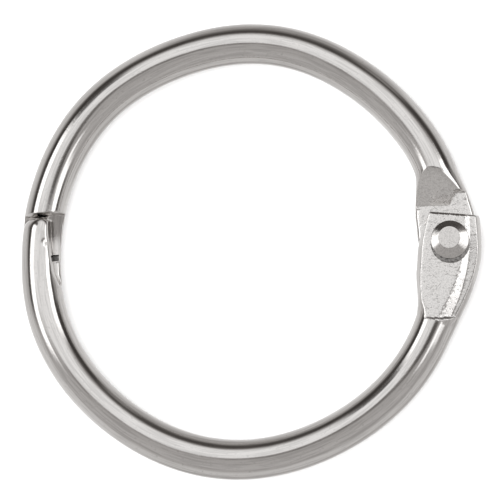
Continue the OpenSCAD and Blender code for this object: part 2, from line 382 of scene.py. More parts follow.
def drawn_side(rho, z, a, half, f):
    """Draws in the front tongue's inner side, with a bevel along its upper edge."""
    share = drawn_share(a)
    depth = (half.draw + half.trim) * share
    wall = depth - rho - WIRE_R - WALL_OFF * (1 - np.minimum(share * WALL_ONSET, 1))
    edge_x = WIRE_R - depth - WALL_BEVEL
    edge_z = np.sqrt(WIRE_R**2 - edge_x**2) + HELD_OFF * (1 - np.minimum(share * BEVEL_ONSET, 1))
    tilt = np.maximum(WALL_TILT, np.degrees(np.arcsin(edge_x / WIRE_R)))
    bevel = slanted(-rho, z, edge_x, edge_z, tilt)
    drawn_in = round_max(round_max(f, bevel, FINE_R), wall, WALL_R)
    return np.where(a < ROOT_A + PART_SPARE, drawn_in, f)


def section_field(rho, z, a, half):
    """About the distance outside the wire's own pressed section."""
    r_in, r_out, low, high, (top_out, top_in, under) = section_sizes(a, half)
    crown = np.where(a > -90, crown_shift(a, half), 0)
    from_crown = rho - crown
    outer = from_crown > 0
    reach = np.where(outer, r_out - crown, r_in + crown)
    half_h = (high - low) / 2
    x = np.abs(from_crown) / reach + 1e-6
    h = np.abs(z - (high + low) / 2) / half_h + 1e-6
    above = z > (high + low) / 2
    n = np.where(above, np.where(outer, top_out, top_in), under)
    e = (x**n + h**n) ** (1 / n)
    slope = np.hypot((x / e) ** (n - 1) / reach, (h / e) ** (n - 1) / half_h)
    f = (e - 1) / slope
    f = np.where(a > FORGE_A, side_bevel(rho, z, a, half, f), f)
    return drawn_side(rho, z, a, half, f) if half.trim else f


def jag(distance, u, depth, near, seed):
    """Waves of a line, which fade out with the distance from it."""
    return depth * wavy(u, seed) * np.exp(-((distance / near) ** 2))


def face_field(x, y, z, seed):
    """Outside the pressed front face, its outer margin and the step that ends it."""
    cx, cy = PIVOT_X + MARGIN_X - MARGIN_R, MARGIN_Y
    along = np.clip(BEND_TOP - y, 0, BEND_RUN)
    width = BEND_W + BEND_GROWTH * along
    past = np.hypot(x - cx, y - cy) - (MARGIN_R + BEND_SHIFT - width / 2)
    inner = past + jag(past, y * BEND_PITCH, BEND_JAG, BEND_NEAR, seed)
    outer = past - width
    outer = outer + jag(outer, y * OUTER_PITCH, OUTER_JAG, OUTER_NEAR, seed + 3)
    slope = BEND_SLOPE - BEND_EASING * along
    drop = slope * (soft_ramp(inner, BEND_SOFT) - soft_ramp(outer, BEND_SOFT))
    drop = drop + MARGIN_DROP * np.maximum(outer, 0)
    step = y + FLAT_LEN - STEP_SHIFT - STEP_JAG * ragged(x * STEP_PITCH, seed + 5)
    step = slanted(step, z + drop, 0, FACE_Z, STEP_TILT + STEP_LEAN * drop)
    return round_min(z - FACE_Z + drop, step, STEP_R)


def mating_field(x, y, z):
    """Outside the flat under the lug and the ramp down from it, whose foot has a scoop."""
    s = y + RAMP_FOOT
    slope = (WIRE_R + MATE_Z) / RAMP_RUN
    ramp = (MATE_Z + s * slope - z) / np.hypot(1, slope)
    back = s + SCOOP * ease(part_way(x, SCOOP_FROM, SCOOP_TO))
    scoop = (MATE_Z + back * SCOOP_STEEP - z) / np.hypot(1, SCOOP_STEEP)
    return round_min(MATE_Z - z, round_max(ramp, scoop, SCOOP_R), FOOT_R)


def lap_field(x, y, z):
    """Outside the lap: thin behind the hook, thicker at the hook, whole behind the shoulder."""
    thin = (HOOK_H + LAP_PLAY) / 2 - LAP_RISE * soft_ramp(-y - LAP_FLAT, LAP_SOFT) - z
    thick = (LAP_PLAY - HOOK_H) / 2 + LAP_RISE * soft_ramp(y - LAP_FLAT, LAP_SOFT) - z
    hook = round_max(thick, HOOK_PLAY / 2 - y, HOOK_R)
    hollow = 1 - SHOULDER_SHARP * ease(part_way(x, SHARP_FROM, SHARP_TO))
    shoulder = y - SHOULDER_Y - SHOULDER_SHIFT * hollow + SHOULDER_SLANT * thin
    return round_min(np.minimum(thin, hook), shoulder, SHOULDER_R * hollow)


def nose_field(x, y, z):
    """Outside the slanted end of the lug, which leans a little, as a forging does."""
    slant = np.radians(NOSE_SLANT)
    ahead = (y - NOSE_LEN - NOSE_LONGER) * np.cos(slant) + (x - PIVOT_X) * np.sin(slant)
    return ahead + NOSE_DRAFT * (z - FACE_Z)


def lug_field(x, y, z, half, f):
    """The section f with the lug's faces and nose cut."""
    f = round_max(f, mating_field(x, y, z), MATE_R)
    f = round_max(f, face_field(x, y, z, half.seed), EDGE_R)
    nose = nose_field(x, y, z)
    f = round_max(f, nose, NOSE_R)
    worn_nose = nose + NOSE_WORN * (1 + WORN_JAG * ragged(x * WORN_PITCH, half.seed))
    return round_max(f, slanted(worn_nose, z, 0, FACE_Z, NOSE_TILT), NOSE_EDGE_R)


def tongue_field(p, a, half, f):
    """The section f with the lap, the blunt tip and the nicks cut."""
    x, y, z = p[..., 0], p[..., 1], p[..., 2]
    hook_y = HOOK_PLAY / 2
    worn = ease(part_way(y, *HOOK_WORN)) * ease(part_way(y, hook_y, hook_y + HOOK_WORN_RUN))
    near_shoulder = ease(part_way(np.abs(y - SHOULDER_Y), *SHOULDER_NEAR))
    edge_r = MATE_R + HOOK_WEAR * worn + SHOULDER_EDGE * near_shoulder
    f = round_max(f, lap_field(x, y, z), edge_r)
    f = round_max(f, np.radians(TIP_A - a) * RING_R, TIP_R)
    for place, r, depth in NICKS if half.trim else []:
        d2 = ((p - np.array(place)) ** 2).sum(-1)
        f = f + depth * np.exp(-d2 / r**2)
    return f


def half_field(p, half):
    """Negative inside the front half, in its own place; p is an array of points."""
    x, y, z = p[..., 0], p[..., 1], p[..., 2]
    a, r = polar(x, y)
    f = section_field(r - RING_R, z, a, half)
    at_lug = lug_field(x, y, z, half, f)
    at_tongue = tongue_field(p, a, half, f)
    in_tongue = a < ROOT_A + PART_SPARE
    return np.where(a > FORGE_A - PART_SPARE, at_lug, np.where(in_tongue, at_tongue, f))


# ---------------------------------------------------------------- casting the skin
HALVINGS = 24  # steps that find where a ray leaves the form
LONGEST = 3.2  # the longest ray
AROUND = 176  # points round a section
AROUND_TRIES = 481  # rays cast to find where those points go
CAP_POINTS = 44  # from the edge of an end to its pole
CAP_TRIES = 120
TURN_COST = 0.12  # how strongly points gather where the line turns
LEAST_COST = 0.02
NOSE_END_A = 3.0  # the last section, from which the nose is closed
TIP_MARGIN = 3.2  # angle from the tip to the first section
LAP_MIDDLE = 0.74  # height of the lapped tongue's middle
LUG_LIFT = (PEAK_A - 2, FOOT_A)  # between these angles the inner line rises into the lug
LAP_LIFT = (SHOULDER_A + 9, SHOULDER_A + 2)  # and between these into the lapped tongue
UP = np.array([0.0, 0.0, 1.0])


def cast(starts, ways, field):
    """Points where rays from inside leave the form."""
    near, far_end = np.zeros(starts.shape[:-1]), np.full(starts.shape[:-1], LONGEST)
    for _ in range(HALVINGS):
        mid = (near + far_end) / 2
        inside = field(starts + ways * mid[..., None]) < 0
        near, far_end = np.where(inside, mid, near), np.where(inside, far_end, mid)
    return starts + ways * near[..., None]


def even_out(params, points, count):
    """Parameters that space points evenly along each line, and closer where it turns."""
    step = np.diff(points, axis=1)
    length = np.linalg.norm(step, axis=-1) + 1e-9
    way = step / length[..., None]
    turn = np.zeros_like(length)
    turn[:, 1:] = np.linalg.norm(np.diff(way, axis=1), axis=-1)
    turn[:, :-1] += turn[:, 1:]
    cost = length + TURN_COST * turn + LEAST_COST
    run = np.concatenate([np.zeros((len(cost), 1)), np.cumsum(cost, axis=1)], axis=1)
    want = np.linspace(0, 1, count)
    return np.array([np.interp(want * r[-1], r, params) for r in run])


def ray_frame(a):
    """Outward and forward directions in the ring's plane at arc angles a."""
    t = np.radians(a)
    zero = np.zeros_like(t)
    out = np.stack([np.cos(t), np.sin(t), zero], -1)
    ahead = np.stack([-np.sin(t), np.cos(t), zero], -1)
    return out, ahead


def inner_line(a, half):
    """A point well inside the form at each arc angle."""
    r_in, r_out, *_ = section_sizes(a, half)
    r_in = r_in - half.trim * drawn_share(a)
    foot = ease(part_way(a, *LUG_LIFT))
    lap = ease(part_way(a, *LAP_LIFT))
    out, _ = ray_frame(a)
    centre = np.zeros_like(out)
    centre[..., 1] = CENTRE_Y
    line = centre + out * (RING_R + (r_out - r_in) / 2)[..., None]
    line[..., 2] = foot * (FACE_Z + MATE_Z) / 2 + lap * LAP_MIDDLE
    return line


def stations():
    """Arc angles of the sections, closer together where the form changes quickly."""
    # where each stretch starts, and the step along it
    marks = [
        (TIP_A + TIP_MARGIN, 0.55),
        (HOOK_A - 0.8, 0.08),
        (HOOK_A + 2.1, 0.45),
        (SHOULDER_A - 1.6, 0.09),
        (SHOULDER_A + 0.6, 0.5),
        (ROOT_A + 3, 1.6),
        (FORGE_A - 2, 0.4),
        (STEP_A - 1.2, 0.08),
        (STEP_A + 1.6, 0.2),
        (FOOT_A + 1, 0.22),
    ]
    ends = [start for start, _ in marks[1:]] + [NOSE_END_A]
    angles = [np.arange(start, end, step) for (start, step), end in zip(marks, ends)]
    return np.concatenate([*angles, [NOSE_END_A]])


def end_cap(a, sign, phi, half, field):
    """Rings that close one end, from the section at a to the pole."""
    start = inner_line(np.array([a]), half)[0]
    out, ahead = ray_frame(np.array(a))
    flat = np.cos(phi)[:, None] * out - np.sin(phi)[:, None] * UP

    def ways(psi):
        return np.cos(psi)[..., None] * flat[:, None] + sign * np.sin(psi)[..., None] * ahead

    first = np.linspace(0, np.pi / 2, CAP_TRIES)
    even = np.tile(first, (len(phi), 1))
    starts = np.broadcast_to(start, (*even.shape, 3))
    psi = even_out(first, cast(starts, ways(even), field), CAP_POINTS)
    psi[:, 0], psi[:, -1] = 0, np.pi / 2
    starts = np.broadcast_to(start, (*psi.shape, 3))
    return cast(starts, ways(psi), field)[:, 1:].transpose(1, 0, 2)


def half_skin(half):
    """Rings of points along one half, from the pole at its tip to the pole at its nose."""

    def field(p):
        return half_field(p, half)

    angles = stations()
    line = inner_line(angles, half)
    out, _ = ray_frame(angles)

    def ways(phi):
        return np.cos(phi)[..., None] * out[:, None] - np.sin(phi)[..., None] * UP

    first = np.linspace(-np.pi / 2, 1.5 * np.pi, AROUND_TRIES)
    even = np.tile(first, (len(angles), 1))
    starts = np.broadcast_to(line[:, None], (*even.shape, 3))
    phi = even_out(first, cast(starts, ways(even), field), AROUND + 1)[:, :-1]
    starts = np.broadcast_to(line[:, None], (*phi.shape, 3))
    rings = cast(starts, ways(phi), field)
    tip = end_cap(angles[0], -1, phi[0], half, field)[::-1]
    nose = end_cap(angles[-1], 1, phi[-1], half, field)
    return np.concatenate([tip, rings, nose])


# ---------------------------------------------------------------- meshes
def grid_mesh(name, rings):
    """A closed mesh through equal rings, whose first and last rings are each one point."""
    count, around, _ = rings.shape
    verts = np.concatenate([rings[0, :1], rings[1:-1].reshape(-1, 3), rings[-1, :1]])
    j = np.arange(count - 3)[:, None] * around + 1
    i = np.arange(around)[None]
    n = (i + 1) % around
    quads = np.stack([j + i, j + n, j + around + n, j + around + i], -1).reshape(-1, 4)
    last = len(verts) - 1
    top = last - around
    fan_a = [(0, int(b), int(a)) for a, b in zip(1 + i[0], 1 + n[0])]
    fan_b = [(last, int(a), int(b)) for a, b in zip(top + i[0], top + n[0])]
    mesh = bpy.data.meshes.new(name)
    mesh.from_pydata(verts.tolist(), [], quads.tolist() + fan_a + fan_b)
    mesh.update()
    return mesh


def new_object(name, data):
    obj = bpy.data.objects.new(name, data)
    bpy.context.scene.collection.objects.link(obj)
    return obj


def read(items, key, width, kind=float):
    """One row of values for each vertex, corner or face."""
    values = np.empty(len(items) * width, kind)
    items.foreach_get(key, values)
    return values.reshape(-1, width)


def mark_points(mesh, name, values):
    """Stores a number for each point, for the materials to read."""
    mark = mesh.attributes.new(name, "FLOAT", "POINT")
    mark.data.foreach_set("value", values)


def smooth_faces(mesh):
    mesh.polygons.foreach_set("use_smooth", np.ones(len(mesh.polygons), bool))


# ---------------------------------------------------------------- the hole and the pocket
HOLE_REACH = 3.0  # how far the cutter reaches up and down
HOLE_SIDES = 96
CUT_NEAR = 1e-4  # how near a point is to a cut wall that it lies on
TURNED = np.cos(np.radians(40))  # past this angle off the form's normal, a cut wall keeps its own


def cut_away(obj, name, outline, low, high):
    """Cuts an upright prism out of a mesh."""
    n = len(outline)
    verts = np.r_[np.c_[outline, np.full(n, low)], np.c_[outline, np.full(n, high)]]
    sides = [(k, (k + 1) % n, n + (k + 1) % n, n + k) for k in range(n)]
    ends = [tuple(range(n - 1, -1, -1)), tuple(range(n, 2 * n))]
    mesh = bpy.data.meshes.new(name)
    mesh.from_pydata(verts.tolist(), [], sides + ends)
    tool = new_object(name, mesh)
    cut = obj.modifiers.new(name, "BOOLEAN")
    cut.operation = "DIFFERENCE"
    cut.solver = "MANIFOLD"
    cut.object = tool
    graph = bpy.context.evaluated_depsgraph_get()
    result = bpy.data.meshes.new_from_object(obj.evaluated_get(graph))
    obj.modifiers.clear()
    obj.data = result
    bpy.data.objects.remove(tool)


def cut_holes(obj, half):
    """The rivet's hole through the lug, and the pocket that shows before the rear hook."""
    t = np.linspace(0, 2 * np.pi, HOLE_SIDES, endpoint=False)
    circle = np.stack([PIVOT_X + HOLE_R * np.cos(t), HOLE_R * np.sin(t)], -1)
    cut_away(obj, "hole", circle, -HOLE_REACH, HOLE_REACH)
    if half is REAR:
        (x0, x1), (y0, y1), (z0, z1) = POCKET
        cut_away(obj, "pocket", np.array([(x0, y0), (x1, y0), (x1, y1), (x0, y1)]), z0, z1)


def on_hole(co):
    """Which points lie on the wall of the rivet's hole."""
    return np.abs(np.hypot(co[:, 0] - PIVOT_X, co[:, 1]) - HOLE_R) < CUT_NEAR


def on_pocket(co):
    """Which points lie on the walls of the pocket."""
    inside = np.ones(len(co), bool)
    at_wall = np.zeros(len(co), bool)
    for values, (low, high) in zip(co.T, POCKET):
        inside &= (values > low - CUT_NEAR) & (values < high + CUT_NEAR)
        at_wall |= (np.abs(values - low) < CUT_NEAR) | (np.abs(values - high) < CUT_NEAR)
    return inside & at_wall


# ---------------------------------------------------------------- a half, from its form
PROBE = 0.004  # how far off a point the form is read to find its slope
FACE_NEAR = 0.06  # how near a point is to a pressed face that it lies on
LUG_TOP_A = 60  # nothing of the lug lies past this angle


def gradient(points, field):
    """Outward normals of the form at points on it."""
    cols = [field(points + axis) - field(points - axis) for axis in np.eye(3) * PROBE]
    g = np.stack(cols, -1)
    return g / (np.linalg.norm(g, axis=-1, keepdims=True) + 1e-12)


def set_normals(mesh, co, field):
    """Normals straight from the form, but for the walls of the hole and the pocket."""
    normals = gradient(co, field)
    corner_vert = read(mesh.loops, "vertex_index", 1, int)[:, 0]
    face_normal = read(mesh.polygons, "normal", 3)
    sizes = read(mesh.polygons, "loop_total", 1, int)[:, 0]
    flat = np.repeat(face_normal, sizes, axis=0)
    smooth = normals[corner_vert]
    turned = (smooth * flat).sum(-1) < TURNED
    use_flat = turned & (on_hole(co) | on_pocket(co))[corner_vert]
    corner_normals = np.where(use_flat[:, None], flat, smooth)
    smooth_faces(mesh)
    mesh.normals_split_custom_set(corner_normals.tolist())


def pressed_share(co):
    """1 on the pressed flats of the lug, 0 on the drawn wire."""
    x, y, z = co.T
    faces = [face_field(x, y, z, 0), mating_field(x, y, z), nose_field(x, y, z)]
    share = np.max([1 - np.clip(np.abs(f) / FACE_NEAR, 0, 1) for f in faces], axis=0)
    a, _ = polar(x, y)
    return share * ((a < LUG_TOP_A) & (a > FORGE_A - 1))


def set_marks(mesh, co):
    """What the material reads: how far each point is pressed, how much painted shade the pocket's walls
    get, and its place along the wire.
    """
    mark_points(mesh, "pressed", pressed_share(co))
    # painted shade on the pocket's walls, for the material to darken them
    mark_points(mesh, "painted_crevice_shade", POCKET_PAINTED_SHADE * on_pocket(co))
    x, y, z = co.T
    y = y - CENTRE_Y
    straight = np.stack([np.arctan2(y, -x) * RING_R, np.hypot(x, y) - RING_R, z], -1) * MM
    place = mesh.attributes.new("straight", "FLOAT_VECTOR", "POINT")
    place.data.foreach_set("vector", straight.ravel())


def bump_at(a, middle, width):
    return np.exp(-(((a - middle) / width) ** 2))


def sway(co, half):
    """How far each point lies off the true arc, since the wire is bent unevenly by hand tools."""
    x, y = co[:, 0], co[:, 1]
    a, r = polar(x, y)
    off = half.sway_h * np.cos(2 * np.pi * (a - half.sway_a) / half.sway_run)
    off = off + half.bulge * bump_at(a, BULGE_A, BULGE_W)
    off = off * ease(part_way(a, SWAY_FROM, SWAY_FULL)) - PINCH * bump_at(a, PINCH_A, PINCH_W)
    return np.stack([x / r * off, (y - CENTRE_Y) / r * off, 0 * off], -1)


def make_half(half, material):
    name = half.name + "_wire"
    obj = new_object(name, grid_mesh(name, half_skin(half)))
    cut_holes(obj, half)
    mesh = obj.data
    co = read(mesh.vertices, "co", 3)
    set_normals(mesh, co, lambda p: half_field(p, half))
    set_marks(mesh, co)
    mesh.vertices.foreach_set("co", (co + sway(co, half)).ravel())
    mesh.transform(Matrix.Scale(MM, 4) @ Matrix.Rotation(half.turn, 4, "X"))
    mesh.materials.clear()
    mesh.materials.append(material)
    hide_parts(half.name)
    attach(obj, half.name)


# ---------------------------------------------------------------- the rivet
RIVET_SIDES = 160
RIVET_PIECE = 0.06  # pieces of its profile are no shorter, unless a whole stretch is
ABOVE_SEAT = 1e-6
PAINTED_SHADE_BELOW = 0.05  # how far below the skirt and above its neck the painted shade reaches
PAINTED_SHADE_ABOVE = 0.01
ROUND_PIECES = 6  # points on each rounded corner


def rounded(corners):
    """A profile line through corners of radius, height and rounding."""
    points = [c[:2] for c in corners]
    line = [points[0]]
    for before, (*corner, r), after in zip(points, corners[1:], points[2:]):
        b, c, d = (np.array(q, float) for q in (before, corner, after))
        u, v = (b - c) / np.linalg.norm(b - c), (d - c) / np.linalg.norm(d - c)
        half = np.arccos(np.clip(u @ v, -1, 1)) / 2
        reach = r / np.tan(half)
        mid = c + (u + v) / np.linalg.norm(u + v) * r / np.sin(half)
        p, q = c + u * reach, c + v * reach
        for k in np.linspace(0, 1, ROUND_PIECES):
            w = (p - mid) * (1 - k) + (q - mid) * k
            line.append(tuple(mid + w / np.linalg.norm(w) * r))
    line.append(points[-1])
    return line


def divided(line):
    """The same line in short pieces."""
    points = [line[0]]
    for p, q in zip(line, line[1:]):
        p, q = np.array(p), np.array(q)
        pieces = max(1, int(np.linalg.norm(q - p) / RIVET_PIECE))
        points += [tuple(p + (q - p) * k / pieces) for k in range(1, pieces + 1)]
    return np.array(points)


def make_rivet(material):
    """A turned form whose front head leans to its off-centre flat."""
    seat = FACE_Z + HEAD_PLAY
    skirt_top = seat + SKIRT_H
    neck = skirt_top + NECK_RISE
    rim_top = seat + RIM_H
    top, bottom = seat + HEAD_H, -seat - PEEN_H
    corners = [
        (0, bottom, 0),
        (PEEN_FLAT_R, bottom, 0.12),
        (PEEN_R, -seat, 0.06),
        (SHANK_R, -seat, 0.03),
        (SHANK_R, seat, 0.03),
        (SKIRT_R, seat, 0.03),
        (SKIRT_R, skirt_top, 0.03),
        (HEAD_R - NECK_IN, neck, 0.01),
        (HEAD_R, rim_top, 0.04),
        (HEAD_FLAT_R, top, 0.07),
        (0, top, 0),
    ]
    profile = divided(rounded(corners))
    t = np.linspace(0, 2 * np.pi, RIVET_SIDES, endpoint=False)
    r, z = profile[:, :1], profile[:, 1:]
    levels = [seat, skirt_top, neck, rim_top, top]
    under = np.clip((r - SHANK_R) / (SKIRT_R - SHANK_R), 0, 1) * (z > 0)

    def shift(skirt, rim, flat):
        in_head = np.interp(z, levels, [skirt, skirt, rim, rim, flat])
        return np.where(z > seat + ABOVE_SEAT, in_head, skirt * under)

    x, y = (shift(*shifts) for shifts in zip(SKIRT_SHIFT, RIM_SHIFT, FLAT_SHIFT))
    towards_middle = np.clip(-np.cos(t) + RIM_TILT_SPREAD, 0, 1)
    lift = RIM_TILT * np.interp(z, levels, [0, 0, 0, 1, 0]) * (z > 0) * towards_middle
    rings = np.stack([PIVOT_X + x + r * np.cos(t), y + r * np.sin(t), z + lift], -1)
    # painted shade round the skirt under the head, darkest on one side, in place of the shade in the gap
    # below the head
    in_skirt = (z > seat - PAINTED_SHADE_BELOW) & (z < neck + PAINTED_SHADE_ABOVE)
    painted_shade = in_skirt * (PAINTED_SHADE_MEAN + PAINTED_SHADE_SWING * np.cos(t - np.radians(PAINTED_SHADE_SIDE)))
    obj = new_object("rivet", grid_mesh("rivet", rings))
    mark_points(obj.data, "painted_crevice_shade", np.r_[painted_shade[0, :1], painted_shade[1:-1].ravel(), painted_shade[-1, :1]])
    smooth_faces(obj.data)
    obj.data.transform(Matrix.Scale(MM, 4))
    obj.data.materials.append(material)
    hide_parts("hinge_rivet")
    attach(obj, "hinge_rivet")


# ---------------------------------------------------------------- materials
class Nodes:
    """Short calls for building a node tree."""

    def __init__(self, tree):
        self.tree = tree

    def add(self, kind, **settings):
        node = self.tree.nodes.new(kind)
        for key, value in settings.items():
            setattr(node, key, value)
        return node

    def link(self, value, socket):
        if isinstance(value, bpy.types.NodeSocket):
            self.tree.links.new(value, socket)
        else:
            socket.default_value = value

    def math(self, operation, *values):
        node = self.add("ShaderNodeMath", operation=operation)
        for value, socket in zip(values, node.inputs):
            self.link(value, socket)
        return node.outputs[0]

    def times(self, first, second):
        return self.math("MULTIPLY", first, second)

    def times_plus(self, first, second, added):
        return self.math("MULTIPLY_ADD", first, second, added)

    def step(self, value, start, end):
        """0 before start, 1 after end, smooth between; of two numbers, start may be the larger."""
        node = self.add("ShaderNodeMapRange", interpolation_type="SMOOTHSTEP")
        falls = not isinstance(start, bpy.types.NodeSocket) and start > end
        low, high = (end, start) if falls else (start, end)
        for socket, v in zip(node.inputs, (value, low, high, float(falls), float(not falls))):
            self.link(v, socket)
        return node.outputs[0]

    def mix(self, share, first, second, blend="MIX"):
        node = self.add("ShaderNodeMix", data_type="RGBA", blend_type=blend)
        for socket, v in ((node.inputs[0], share), (node.inputs[6], first), (node.inputs[7], second)):
            self.link(v, socket)
        return node.outputs[2]

    def noise(self, vector, scale, detail, rough):
        node = self.add("ShaderNodeTexNoise")
        self.link(vector, node.inputs["Vector"])
        node.inputs["Scale"].default_value = scale
        node.inputs["Detail"].default_value = detail
        node.inputs["Roughness"].default_value = rough
        return node.outputs["Fac"]

    def attribute(self, name):
        return self.add("ShaderNodeAttribute", attribute_name=name)


NICKEL = (0.745, 0.726, 0.711)
# a lighter copy of the nickel for the pressed faces, which is painted light: it brightens them in place
# of the brighter light they mirror; their duller grain is real
PRESSED_NICKEL_LIT = (0.825, 0.807, 0.792)
RIVET_NICKEL = (0.72, 0.70, 0.684)
RIVET_DULL = 0.3  # how dull the rivet is against a pressed face

# scale, detail and roughness of each noise, with scales per metre
GRAIN = (9000, 3.0, 0.6)
PITS = (4600, 2.0, 0.6)
STREAKS = (7000, 3.0, 0.6)
WAVES = (1500, 1.0, 0.5)
RIVET_WAVES = (900, 1.0, 0.5)
STRETCH = (0.06, 1.0, 1.0)  # streaks and waves run along the wire

ROUGHNESS = 0.05
FINE_ROUGH = 0.12  # what the fine marks add to it
PRESSED_ROUGH = 0.10
# roughness added where the painted shade lies
PAINTED_SHADE_ROUGH = 0.25

# noise values between which each mark shows
PAINTED_SHADE_PATCH = (0.4, 0.6)
STREAK_DARK = (0.38, 0.56)
PIT_DARK_FROM = 0.26
PIT_DARK_PRESSED = 0.08  # what a pressed face adds to that
PIT_DARK_TO = 0.42
PIT_DEEP = (0.3, 0.46)

PAINTED_SHADE_MOST = 1.3  # strength of the painted shade where it is thickest
PAINTED_SHADE_UNEVEN = -0.6  # what that loses in its thin patches
DARKENING = 0.14  # by streaks and pits
# how much the painted shade in the crevices darkens the colour
PAINTED_SHADE_DARKENING = 0.6

# shares of the bump's height, on the drawn wire and what a pressed face adds
WAVE_BUMP = 0.5
FINE_BUMP = (0.10, 0.25)
PIT_BUMP = (0.05, 0.5)
BUMP_STRENGTH = 0.6
BUMP_HEIGHT = 0.00002  # in metres


def metal(name, colour, pressed_lit_colour, on_wire):
    """Bright nickel: fine drawn streaks, faint waves and pits, and a dull grain where pressed; the
    pressed faces are lightened as painted light, and the crevices marked for it get painted shade.
    """
    material = bpy.data.materials.new(name)
    material.use_nodes = True
    nodes = Nodes(material.node_tree)
    shader = material.node_tree.nodes["Principled BSDF"]
    shader.inputs["Metallic"].default_value = 1.0
    place = nodes.add("ShaderNodeTexCoord").outputs["Object"]
    grain = nodes.noise(place, *GRAIN)
    pits = nodes.noise(place, *PITS)
    if on_wire:
        mask = nodes.attribute("pressed").outputs["Fac"]
        stretch = nodes.add("ShaderNodeVectorMath", operation="MULTIPLY")
        nodes.link(nodes.attribute("straight").outputs["Vector"], stretch.inputs[0])
        stretch.inputs[1].default_value = STRETCH
        streaks = nodes.noise(stretch.outputs[0], *STREAKS)
        waves = nodes.noise(stretch.outputs[0], *WAVES)
    else:
        waves = nodes.noise(place, *RIVET_WAVES)
        mask = nodes.times(nodes.math("ADD", waves, 0.5), RIVET_DULL)
        streaks = grain
    fine = nodes.mix(mask, streaks, grain)
    # painted shade in the crevices, in uneven patches
    mottled = nodes.times_plus(nodes.step(pits, *PAINTED_SHADE_PATCH), PAINTED_SHADE_UNEVEN, PAINTED_SHADE_MOST)
    painted_shade = nodes.times(nodes.attribute("painted_crevice_shade").outputs["Fac"], mottled)

    rough = nodes.times_plus(fine, FINE_ROUGH, ROUGHNESS)
    rough = nodes.times_plus(mask, PRESSED_ROUGH, rough)
    nodes.link(nodes.times_plus(painted_shade, PAINTED_SHADE_ROUGH, rough), shader.inputs["Roughness"])

    # painted light: the pressed faces take the lighter copy of the nickel
    sheen = nodes.mix(mask, (*colour, 1), (*pressed_lit_colour, 1))
    pit_from = nodes.times_plus(mask, PIT_DARK_PRESSED, PIT_DARK_FROM)
    shade = nodes.times(nodes.step(fine, *STREAK_DARK), nodes.step(pits, pit_from, PIT_DARK_TO))
    shade = nodes.times_plus(shade, DARKENING, 1 - DARKENING)
    # painted shade darkens the crevices
    shade = nodes.times(shade, nodes.times_plus(painted_shade, -PAINTED_SHADE_DARKENING, 1.0))
    nodes.link(nodes.mix(1.0, sheen, shade, "MULTIPLY"), shader.inputs["Base Color"])

    def bump_share(drawn, pressed):
        return nodes.times_plus(mask, pressed, drawn)

    height = nodes.times(waves, WAVE_BUMP)
    height = nodes.times_plus(fine, bump_share(*FINE_BUMP), height)
    height = nodes.times_plus(nodes.step(pits, *PIT_DEEP), bump_share(*PIT_BUMP), height)
    bump = nodes.add("ShaderNodeBump")
    bump.inputs["Strength"].default_value = BUMP_STRENGTH
    bump.inputs["Distance"].default_value = BUMP_HEIGHT
    nodes.link(height, bump.inputs["Height"])
    nodes.link(bump.outputs[0], shader.inputs["Normal"])
    return material


# ---------------------------------------------------------------- floor and lamp
FLOOR_REACH = 3.0  # in metres
FLOOR_WHITE = 0.9
FLOOR_ROUGH = 0.9
LAMP_POWER = 4.4
LAMP_SPREAD = 80
LAMP_LEAN = (8, -6, 0)


def make_floor():
    """A plain white sheet under the ring, which the metal doesn't mirror."""
    z = cad_box[0].z
    corners = [(sx * FLOOR_REACH, sy * FLOOR_REACH, z) for sx, sy in ((-1, -1), (1, -1), (1, 1), (-1, 1))]
    mesh = bpy.data.meshes.new("floor")
    mesh.from_pydata(corners, [], [(0, 1, 2, 3)])
    floor = new_object("floor", mesh)
    material = bpy.data.materials.new("white_sheet")
    material.use_nodes = True
    shader = material.node_tree.nodes["Principled BSDF"]
    shader.inputs["Base Color"].default_value = (FLOOR_WHITE, FLOOR_WHITE, FLOOR_WHITE, 1)
    shader.inputs["Roughness"].default_value = FLOOR_ROUGH
    shader.inputs["Specular IOR Level"].default_value = 0.0
    mesh.materials.append(material)
    floor.visible_glossy = False


def make_lamp():
    """Soft overhead light for the floor; the metal mirrors only the studio round it."""
    data = bpy.data.lights.new("overhead", "SUN")
    data.energy = LAMP_POWER
    data.angle = np.radians(LAMP_SPREAD)
    lamp = new_object("overhead", data)
    lamp.rotation_euler = np.radians(LAMP_LEAN)
    lamp.visible_glossy = False


# ---------------------------------------------------------------- the studio
# Brightness at degrees from straight up, and past 90 the table's. Most of these stops were read off
# the photograph: its tone on the plain wire by the direction that the metal mirrors there, made
# linear and divided by the metal's reflectance. report.md says more, under its departures.
OVERHEAD = [(0, 0.94), (14, 0.96), (30, 1.0), (42, 0.98)]
BACK = [
    (42, 0.97), (47, 0.86), (52, 0.62), (57, 0.3), (62, 0.11), (68, 0.075), (76, 0.09),
    (85, 0.19), (92, 0.3), (100, 0.39), (112, 0.48), (125, 0.64), (140, 0.78), (160, 0.86),
]  # fmt: skip
BACK_RIGHT = [
    (42, 0.85), (50, 0.6), (58, 0.3), (66, 0.11), (72, 0.06), (84, 0.06), (90, 0.18),
    (95, 0.4), (101, 0.62), (110, 0.72), (128, 0.74), (145, 0.84), (160, 0.92),
]  # fmt: skip
BACK_LEFT = [
    (42, 0.9), (48, 0.7), (55, 0.35), (62, 0.08), (70, 0.045), (76, 0.1), (84, 0.34),
    (91, 0.57), (100, 0.68), (115, 0.72), (128, 0.82), (145, 0.9), (160, 0.97),
]  # fmt: skip
SIDE = [
    (42, 0.5), (62, 0.4), (66, 0.07), (71, 0.06), (77, 0.34), (84, 0.55), (97, 0.68),
    (125, 0.74), (150, 0.84),
]  # fmt: skip
FRONT_WALL = [
    (0, 0.4), (10, 0.45), (40, 0.46), (54, 0.52), (66, 0.5), (75, 0.44), (84, 0.49), (91, 0.62),
    (100, 0.66), (108, 0.63), (118, 0.68), (126, 0.57), (134, 0.46), (142, 0.5), (152, 0.65),
    (165, 0.8),
]  # fmt: skip
